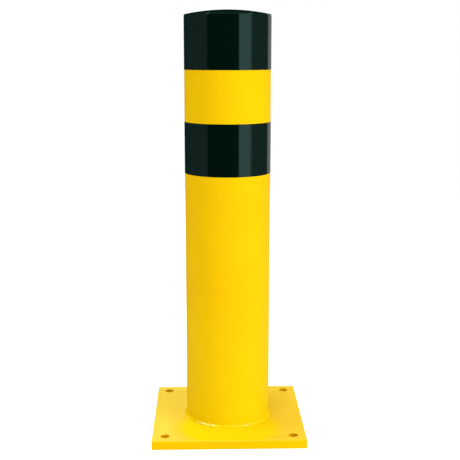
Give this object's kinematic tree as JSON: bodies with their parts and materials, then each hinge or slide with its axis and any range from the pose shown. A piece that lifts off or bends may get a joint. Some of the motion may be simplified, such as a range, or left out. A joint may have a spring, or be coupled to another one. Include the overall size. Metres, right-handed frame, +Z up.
{
  "type": "steel safety bollard",
  "caption": "Bolt-down safety bollard: a capped yellow steel tube welded on a square base plate, with a black head and a black band.",
  "frame": {"origin": "centre of the base plate's underside, at the level of the ground that it is bolted to", "axes": "+Z up the post; +X and +Y along the sides of the square base plate; the bands' overlaps face +Y"},
  "size_m": [0.3, 0.3, 0.831],
  "materials": {
    "yellow_coat": "satin",
    "black_coat": "gloss",
    "black_film": "gloss"
  },
  "bodies": {
    "root": {"base_plate": "yellow_coat", "post_tube": "yellow_coat", "domed_cap": "black_coat", "base_weld": "yellow_coat", "cap_weld": "black_coat", "upper_black_band": "black_film", "lower_black_band": "black_film"}
  },
  "joints": []
}
